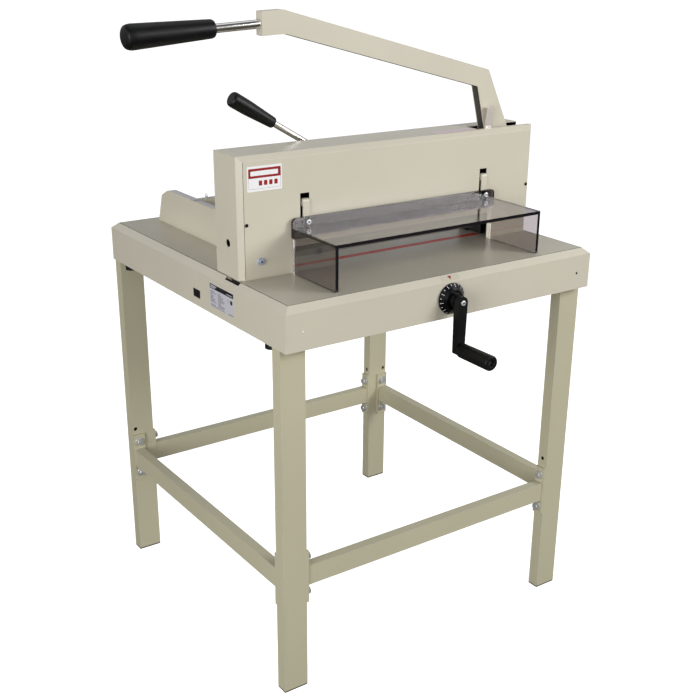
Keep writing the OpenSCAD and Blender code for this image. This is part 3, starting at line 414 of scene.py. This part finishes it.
def new_piece(name, bm, material, body, *replaced, slot=None, smooth=True):
    """Turns bm into a piece that rides body and stands for the replaced CAD nodes."""
    mesh = bpy.data.meshes.new(name)
    bm.to_mesh(mesh)
    bm.free()
    if "custom_normal" in mesh.attributes:  # the CAD mesh's own, which don't fit the merged faces
        mesh.attributes.remove(mesh.attributes["custom_normal"])
    if smooth:
        mesh.set_sharp_from_angle(angle=SHARP_ANGLE)
    else:
        mesh.shade_flat()
    for one in material if isinstance(material, (list, tuple)) else [material]:
        mesh.materials.append(one)
    piece = bpy.data.objects.new(name, mesh)
    bpy.context.scene.collection.objects.link(piece)
    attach(piece, body)
    if replaced:
        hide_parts(*replaced)
    return piece


def rounded_edges(piece, width, segments=2, angle=28.0):
    """Rounds the sharp edges, as bent sheet, cast or ground metal has them."""
    bevel = piece.modifiers.new("edges", "BEVEL")
    bevel.width = width
    bevel.segments = segments
    bevel.limit_method = "ANGLE"
    bevel.angle_limit = math.radians(angle)
    bevel.harden_normals = piece.data.polygons[0].use_smooth
    bevel.use_clamp_overlap = True
    return piece


def node_mesh(node):
    """The node's shape as a clean mesh: welded, with flat faces made whole again."""
    bm = bmesh.new()
    bm.from_mesh(NODES[node].data)
    bmesh.ops.remove_doubles(bm, verts=bm.verts, dist=WELD)
    bmesh.ops.dissolve_limit(
        bm, angle_limit=FLAT_ANGLE, verts=bm.verts, edges=bm.edges, delimit=set()
    )
    return bm


def softened(node, width, segments=2, angle=28.0, inner=None, inner_material=None, smooth=True):
    """The CAD node's own shape, with its sharp edges rounded. inner(face) picks the faces that
    get inner_material; without one they get the near-black painted shade."""
    bm = node_mesh(node)
    materials = [finish_of(node)]
    if inner:
        materials.append(inner_material or painted_shade_coat)
        for face in bm.faces:
            face.material_index = int(inner(face))
    piece = new_piece(node + "_rounded", bm, materials, BODY_OF[node], node, smooth=smooth)
    return rounded_edges(piece, width, segments, angle) if width else piece


def facing(direction):
    """Picks the faces whose normal points that way: the inside of a folded sheet cover, which gets
    painted shade.
    """
    return lambda face: face.normal.dot(direction) > FACING


def within(axis, a, b):
    """Picks the faces that lie wholly between a and b along an axis: the inside of a channel, which
    gets painted shade.
    """
    return lambda face: all(a < v.co[axis] < b for v in face.verts)


def sawn(width, front):
    """Picks the sawn edges of a sheet: the faces no wider than width, and those in its front."""
    def picked(face):
        spread = [
            max(v.co[i] for v in face.verts) - min(v.co[i] for v in face.verts) for i in range(3)
        ]
        return sorted(spread)[1] < width or all(v.co.y < front for v in face.verts)
    return picked


EDGES = {
    0.0012: (
        "skirt_front", "skirt_rear", "skirt_left", "skirt_right",
        "leg_front_left", "leg_front_right", "leg_rear_left", "leg_rear_right",
        "front_stretcher", "rear_stretcher", "left_stretcher", "right_stretcher",
    ),
    0.0009: ("back_gauge", "crank_arm", "leg_end_caps", "skirt_plug"),
    0.0004: (
        "side_guide", "guard_hangers", "cutting_stick", "portal_plate",
        "left_upright", "right_upright", "blade_carrier", "clamp_bar", "safety_latch",
        "base_frame", "blade_bolts", "gauge_carriage", "cover_screws",
    ),
}
for edge_width, names in EDGES.items():
    for node_name in names:
        softened(node_name, edge_width)
for node_name in ("main_grip", "clamp_grip", "crank_grip"):
    softened(node_name, 0.0014, 3, 10.0)
# Painted shade: the faces inside each cover, and the table plate's faces that point to -X, get the
# near-black coat for the shade inside the machine.
for node_name, side in (
    ("front_cover", Y), ("rear_cover", -Y), ("top_cover", -Z), ("left_end_cover", X),
    ("right_end_cover", -X), ("table_plate", -X),
):
    softened(node_name, 0.0004, inner=facing(side))
ARM_WALL = 1.5 * MM
# Painted shade: the faces inside the blade arm's channel get the grey coat for the shade in it.
softened(
    "blade_arm", 0.0009, inner_material=arm_painted_shade,
    inner=within(1, low("blade_arm").y + ARM_WALL, high("blade_arm").y - ARM_WALL),
)


def clear_guard():
    """The smoke guard, flat as cast sheet is: dark sawn edges, and a flange in a darker copy of the
    tint as painted shade.
    """
    sheet = 6.6 * MM
    front, back = low("safety_guard").y, high("safety_guard").y
    guard = softened(
        "safety_guard", 0.0, inner=sawn(sheet, front + 1 * MM), inner_material=acrylic_edge, smooth=False
    )
    # Painted shade: the flange's front and back faces get the darker copy of the smoke tint.
    guard.data.materials.append(acrylic_flange_painted_shade)
    for face in guard.data.polygons:
        if abs(face.normal.y) > FACING and face.center.y > back - sheet:
            face.material_index = 2


clear_guard()

# ---------------------------------------------------------------- shapes, in mm


def facet(origin, across, up):
    """The frame of a flat face: x runs across it, y up it and z stands out of it."""
    across, up = across.normalized(), up.normalized()
    frame_matrix = Matrix((across, up, across.cross(up))).transposed().to_4x4()
    frame_matrix.translation = origin
    return frame_matrix


def box_outline(x0, y0, x1, y1, radius=0.0, steps=5):
    """A rectangle with rounded corners, anticlockwise."""
    if radius == 0:
        return [(x0, y0), (x1, y0), (x1, y1), (x0, y1)]
    outline = []
    for quarter, (cx, cy) in enumerate((
        (x1 - radius, y1 - radius), (x0 + radius, y1 - radius),
        (x0 + radius, y0 + radius), (x1 - radius, y0 + radius),
    )):
        for step in range(steps + 1):
            turn = math.pi / 2 * (quarter + step / steps)
            outline.append((cx + radius * math.cos(turn), cy + radius * math.sin(turn)))
    return outline


def prism(bm, place, outline, bottom, top, index=0):
    """A closed slab with that outline, between two heights above the face."""
    lower, upper = (
        [bm.verts.new(place @ (Vector((x, y, h)) * MM)) for x, y in outline] for h in (bottom, top)
    )
    faces = [bm.faces.new(lower[::-1]), bm.faces.new(upper)]
    for i in range(len(outline)):
        j = (i + 1) % len(outline)
        faces.append(bm.faces.new((lower[i], lower[j], upper[j], upper[i])))
    for face in faces:
        face.material_index = index


def turned(bm, place, profile, segments=48, index=0):
    """Turns (radius, height) steps round the frame's z. A third number is the half width across
    the flats of a hexagon that cuts the circle there."""
    rings = []
    for radius, height, *flats in profile:
        ring = []
        for i in range(segments if radius else 1):
            angle = 2 * math.pi * i / segments
            reach = radius
            if flats:
                off_flat = (angle + math.pi / 6) % (math.pi / 3) - math.pi / 6
                reach = min(radius, flats[0] / math.cos(off_flat))
            ring.append(bm.verts.new(
                place @ (Vector((reach * math.cos(angle), reach * math.sin(angle), height)) * MM)
            ))
        rings.append(ring)
    for below, above in zip(rings, rings[1:]):
        for i in range(segments):
            j = (i + 1) % segments
            loop = (
                below[i % len(below)], below[j % len(below)],
                above[j % len(above)], above[i % len(above)],
            )
            bm.faces.new(tuple(dict.fromkeys(loop))).material_index = index


def bar_rows(bm, place, x0, y1, lengths, pitch, height, top, index):
    """Rows of plain bars, one under another, where the original has small print."""
    for row, length in enumerate(lengths):
        y = y1 - row * pitch
        if length:
            prism(bm, place, box_outline(x0, y - height, x0 + length, y), 0.0, top, index)


# The flat faces that the marks lie on.
COVER = facet(at(0, COVER_Y, 0), X, Z)
LEFT = facet(at(0, 0, 0), -Y, Z)
BEVEL = facet(at(0, 0, TABLE_Z - BEVEL_DROP), X, Vector((0, BEVEL_RUN, BEVEL_DROP)))
TABLE = facet(at(0, 0, TABLE_Z), X, Y)

# ---------------------------------------------------------------- cards and marks


def front_card():
    """White card on the front cover: a red band over a framed field, with plain bars."""
    bm = bmesh.new()
    prism(bm, COVER, box_outline(32.5, 920.5, 101, 963.5, 1.2), 0.0, 0.25)
    prism(bm, COVER, box_outline(34.8, 943.2, 98.6, 959.6, 0.5), 0.2, 0.32, 1)
    prism(bm, COVER, box_outline(39, 947.3, 93, 955.3, 1.0), 0.3, 0.38)
    for x0, x1, z0, z1 in (
        (34.8, 98.6, 924.6, 925.0), (34.8, 35.2, 925.0, 943.2), (98.2, 98.6, 925.0, 943.2),
    ):
        prism(bm, COVER, box_outline(x0, z0, x1, z1), 0.2, 0.3, 2)
    for i in range(4):
        prism(bm, COVER, box_outline(55 + 10.2 * i, 930, 61.5 + 10.2 * i, 938.5, 1.2), 0.2, 0.32, 1)
    new_piece("front_card", bm, (white_vinyl, red_ink, grey_ink), "root", slot="red_plastic")


def rating_card():
    """Lilac foil card on the left skirt: a black heading over rows of plain bars."""
    bm = bmesh.new()
    prism(bm, LEFT, box_outline(-258, 702, -171, 746, 0.8), 0.0, 0.2)
    prism(bm, LEFT, box_outline(-257.2, 736.6, -171.8, 745.2, 0.4), 0.15, 0.28, 1)
    bar_rows(bm, LEFT, -255, 743.2, (22, 17), 3.0, 1.9, 0.34, 0)
    bar_rows(bm, LEFT, -196, 740.4, (21,), 3.0, 1.3, 0.34, 0)
    bar_rows(bm, LEFT, -255.5, 732.4, (14, 22, 6, 12, 9, 18, 15, 21, 0, 19), 2.75, 1.2, 0.27, 2)
    bar_rows(bm, LEFT, -228, 733.0, (9, 12, 20, 17, 24, 22, 10, 13, 25, 22), 2.75, 1.2, 0.27, 2)
    bar_rows(bm, LEFT, -255.5, 704.9, (52,), 2.75, 1.2, 0.27, 2)
    bar_rows(bm, LEFT, -191, 704.9, (18,), 2.75, 1.2, 0.27, 1)
    prism(bm, LEFT, box_outline(-183.5, 723.5, -175.5, 731.5, 3.0), 0.15, 0.28, 1)
    prism(bm, LEFT, box_outline(-192, 723.5, -190.5, 731.0), 0.15, 0.28, 2)
    new_piece("rating_card", bm, (lilac_foil, black_ink_and_socket_shade, grey_ink), "root", slot="zinc")


def small_marks():
    """The dial's red pointer on its clear sticker, the two caps on the skirt, the top sticker."""
    bm = bmesh.new()
    prism(bm, BEVEL, box_outline(328, 1.8, 370, 14.4, 2.4), 0.0, 0.12)
    prism(bm, BEVEL, [(344.8, 12.4), (348.8, 4.4), (352.6, 12.4)], 0.1, 0.2, 1)
    top = facet(at(0, 0, COVER_TOP_Z), X, Y)
    prism(bm, top, box_outline(454, 177, 545, 207, 1.5), 0.0, 0.15, 2)
    white_cap = (0, 0), (1.8, 0), (1.6, 0.5), (0.9, 0.9), (0, 1.0)
    black_cap = (0, 0), (2.5, 0), (2.3, 0.4), (1.3, 0.7), (0, 0.8)
    turned(bm, facet(at(34.4, 0, 721), X, Z), white_cap, 24, 3)
    turned(bm, facet(at(666, 0, 720), X, Z), black_cap, 24, 4)
    new_piece(
        "small_marks", bm, (pale_sticker, red_ink, pink_foil, white_vinyl, black_ink_and_socket_shade), "root",
        slot="red_plastic",
    )


def table_pips():
    """Two blind plugs, almost flush, in the table in front of the left upright."""
    bm = bmesh.new()
    for x, y in ((100.4, 91.2), (99, 131)):
        place = facet(at(x, y, TABLE_Z), X, Y)
        turned(bm, place, ((0, 0), (3.0, 0), (2.8, 0.16), (2.2, 0.22), (1.9, 0.08), (0, 0.05)), 32)
    new_piece("table_pips", bm, table_paint, "root", slot="beige_paint")


def seams():
    """Painted shadow: dark strips in the gaps between the folded sheets, round the table plate and
    between the front cover and the left end cover."""
    bm = bmesh.new()
    a, b = (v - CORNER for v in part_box("table_plate"))
    x0, y0, x1, y1 = (v / MM for v in (a.x, a.y, b.x, b.y))
    half = 0.7
    notch_front, notch_rear = 165.5, 215.5
    for u0, v0, u1, v1 in (
        (x0 - half, y0 - half, x1 + half, y0 + half),
        (x0 - half, y1 - half, x1 + half, y1 + half),
        (x0 - half, y0 + half, x0 + half, notch_front),
        (x0 - half, notch_rear, x0 + half, y1 - half),
        (x1 - half, y0 + half, x1 + half, y1 - half),
    ):
        prism(bm, TABLE, box_outline(u0, v0, u1, v1), -0.3, 0.04)
    seam = box_outline(COVER_SEAM_X, TABLE_Z + 1, COVER_SEAM_X + COVER_SEAM_WIDTH, 972)
    prism(bm, COVER, seam, -0.2, 0.05)
    new_piece("seam_shadows", bm, painted_shade_coat, "root", slot="dark_steel")


def guide_scale():
    """Printed scale along the side guide's top: a pale strip with a tick every 10 mm."""
    bm = bmesh.new()
    top = facet(at(0, 0, high("side_guide").z / MM), X, Y)
    first, last = 262, 600
    prism(bm, top, box_outline(97, first, 108, last, 0.6), 0.0, 0.2)
    for i, y in enumerate(range(first + 6, last - 2, 5)):
        reach = 5.0 if i % 10 == 0 else 3.4 if i % 2 == 0 else 2.0
        prism(bm, top, box_outline(107.6 - reach, y, 107.6, y + 0.5), 0.15, 0.28, 1)
    new_piece("guide_scale", bm, (lilac_foil, black_ink_and_socket_shade), "root", slot="zinc")


def dial_ticks():
    """Twenty white ticks on the dial's cone, long and short by turns; they go round with it."""
    bm = bmesh.new()
    rim, cone_run, cone_rise = 28.7, 28.7 - 18.0, 8.5
    for i in range(20):
        angle = math.radians(18 * i + 9)
        radial = X * math.cos(angle) + Z * math.sin(angle)
        edge = at(CRANK_X, -3.5, CRANK_Z) + radial * rim * MM
        inward = (radial * -cone_run - Y * cone_rise).normalized()
        across = inward.cross((radial * cone_rise - Y * cone_run).normalized())
        place = facet(edge, across, inward)
        reach = 6.2 if i % 2 == 0 else 3.4
        prism(bm, place, box_outline(-0.35, 0.7, 0.35, 0.7 + reach), 0.0, 0.15)
    new_piece("dial_ticks", bm, white_vinyl, "crank", slot="beige_paint")


# ---------------------------------------------------------------- fasteners and springs


def cap_screw(bm, place, radius, height, socket):
    """A domed round head with a hexagon socket."""
    flats = socket * 0.95
    turned(bm, place, (
        (0, 0), (radius - 0.2, 0), (radius, 0.3), (radius, height * 0.45),
        (radius * 0.93, height * 0.7), (radius * 0.78, height * 0.9), (radius * 0.6, height),
        (socket * 1.16, height), (socket * 1.1, height - 0.15, flats),
        (socket * 1.1, height * 0.3, flats), (0, height * 0.22),
    ))
    socket_shadow(bm, place, flats, height * 0.55)


def socket_shadow(bm, place, flats, height):
    """Painted shade: a dark disc at the bottom of a hexagon socket, where the shade falls."""
    turned(bm, place, (
        (0, height - 0.4), (flats * 1.15, height - 0.4, flats), (flats * 1.15, height, flats),
        (0, height),
    ), 24, 1)


def hex_bolt(bm, place, radius, height, washer=None):
    """A hexagon head, chamfered and slightly domed, on a washer if one is given."""
    foot = 0.0
    if washer:
        turned(bm, place, (
            (0, 0), (washer - 0.2, 0), (washer, 0.2), (washer, 1.0), (washer - 0.3, 1.3), (0, 1.3),
        ))
        foot = 1.25
    flats = radius * math.cos(math.pi / 6)
    turned(bm, place, (
        (0, foot), (radius, foot, flats), (radius, height * 0.72, flats),
        (radius * 0.96, height * 0.8, flats), (flats * 0.99, height * 0.9, flats),
        (flats * 0.9, height * 0.97), (0, height),
    ))


def shank(bm, place, radius, length):
    """A screw's shank, from its end up to just inside its head."""
    turned(bm, place, ((0, -length), (radius, -length), (radius, 0.1), (0, 0.1)), 24)


def bolt(bm, seat, out):
    """One of the stand's bolts, with its head's underside at seat."""
    place = facet(seat, Z.cross(out), Z)
    shank(bm, place, 4, 12)
    hex_bolt(bm, place, 8.0, 8.5, 9.4)


def stand_bolt_heads():
    """The twenty-four hexagon bolts that hold the stretchers and the base frame to the legs."""
    bm = bmesh.new()
    centre = middle("base_frame")
    for leg in ("leg_front_left", "leg_front_right", "leg_rear_left", "leg_rear_right"):
        a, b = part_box(leg)
        sx, sy = (1 if a.x < centre.x else -1), (1 if a.y < centre.y else -1)
        outer_x, inner_x = (a.x, b.x) if sx > 0 else (b.x, a.x)
        inner_y = b.y if sy > 0 else a.y
        rail_in = inner_x + sx * TUBE
        for z in (STRETCHER_Z - BOLT_RISE, STRETCHER_Z + BOLT_RISE):
            bolt(bm, Vector((inner_x + sx * PAD, (a.y + b.y) / 2, z)), X * sx)
            bolt(bm, Vector((outer_x + sx * SIDE_BOLT, inner_y + sy * PAD, z)), Y * sy)
        for rise in RAIL_BOLTS:
            bolt(bm, Vector((rail_in, (a.y + b.y) / 2, low("base_frame").z + rise)), X * sx)
    new_piece("stand_bolts_fine", bm, zinc, "root", "stand_bolts")


def front_screws():
    """The guard's four screws, the crank's and the lock screw at the cover's lower left."""
    bm = bmesh.new()
    for x in HANGER_X:
        for z in GUARD_SCREW_Z:
            place = facet(at(x, GUARD_SCREW_Y, z), X, Z)
            shank(bm, place, 2.5, 8.6)
            cap_screw(bm, place, 4.9, 2.6, 2.0)
    new_piece("guard_screws_fine", bm, (bright_zinc, black_ink_and_socket_shade), "guard", "guard_screws")
    bm = bmesh.new()
    place = facet(at(CRANK_X, CRANK_SCREW_Y, CRANK_Z), X, Z)
    shank(bm, place, 3, 26.8)
    cap_screw(bm, place, 5.0, 2.6, 2.1)
    new_piece("crank_screw_fine", bm, (bright_zinc, black_ink_and_socket_shade), "crank", "crank_screw")
    bm = bmesh.new()
    place = facet(at(*LOCK_SCREW), X, Z)
    head, socket_flats = 5.6, 2.08
    flats = head * math.cos(math.pi / 6)
    turned(bm, place, (
        (0, -12), (4, -12), (4, 0), (6.8, 0), (7, 0.2), (7, 1.0), (6.8, 1.2), (head, 1.2, flats),
        (head, 3.9, flats), (flats, 4.45, flats), (flats * 0.9, 4.6), (2.5, 4.6),
        (2.4, 4.5, socket_flats), (2.4, 2.9, socket_flats), (0, 2.7),
    ))
    socket_shadow(bm, place, socket_flats, 3.7)
    new_piece("lock_screw_fine", bm, (blue_zinc, black_ink_and_socket_shade), "root", "lock_screw")


def clamp_coils():
    """The clamp's two return springs, of round wire."""
    bm = bmesh.new()
    a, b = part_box("clamp_springs")
    wire, radius, turns, steps, sides = 1.0 * MM, 9.4 * MM, 6.0, 44, 10
    for x in SPRING_X:
        centre = at(x, SPRING_Y, 0)
        foot = Vector((centre.x, centre.y, a.z + wire))
        rings = []
        for i in range(int(turns * steps) + 1):
            share = i / (turns * steps)
            angle = 2 * math.pi * turns * share
            out = X * math.cos(angle) + Y * math.sin(angle)
            spine = foot + Z * share * (b.z - a.z - 2 * wire) + out * radius
            rings.append([
                bm.verts.new(spine + (out * math.cos(t) + Z * math.sin(t)) * wire)
                for t in (2 * math.pi * k / sides for k in range(sides))
            ])
        for below, above in zip(rings, rings[1:]):
            for k in range(sides):
                j = (k + 1) % sides
                bm.faces.new((below[k], below[j], above[j], above[k]))
        bm.faces.new(rings[0])
        bm.faces.new(rings[-1][::-1])
    bmesh.ops.recalc_face_normals(bm, faces=bm.faces)
    piece = new_piece("clamp_coils", bm, spring_steel, "root", "clamp_springs")
    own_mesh(piece)


front_card()
rating_card()
small_marks()
table_pips()
guide_scale()
seams()
dial_ticks()
stand_bolt_heads()
front_screws()
clamp_coils()
